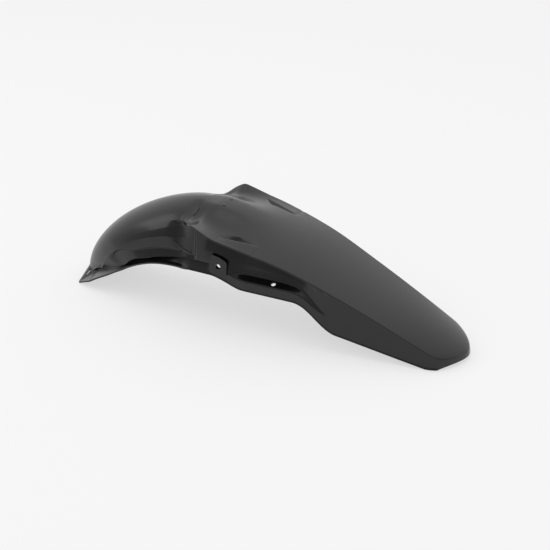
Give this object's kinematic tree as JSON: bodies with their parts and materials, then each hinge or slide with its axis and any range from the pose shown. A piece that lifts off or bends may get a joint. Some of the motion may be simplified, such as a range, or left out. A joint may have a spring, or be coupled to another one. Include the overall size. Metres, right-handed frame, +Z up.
{
  "type": "motorcycle rear fender",
  "caption": "One-piece moulded rear fender: a rounded mudguard curling down at the front, a broad winged top plate and a long tapering tail with a turned-down rim",
  "frame": {"origin": "centre of the bounding box in plan, on the ground the fender stands on", "axes": "+X rearward along the fender toward the tail tip, +Y to the motorcycle's right, +Z up"},
  "size_m": [0.72, 0.2196, 0.1904],
  "materials": {
    "body": "gloss black moulded polypropylene"
  },
  "bodies": {
    "root": {"fender": "body"}
  },
  "joints": []
}
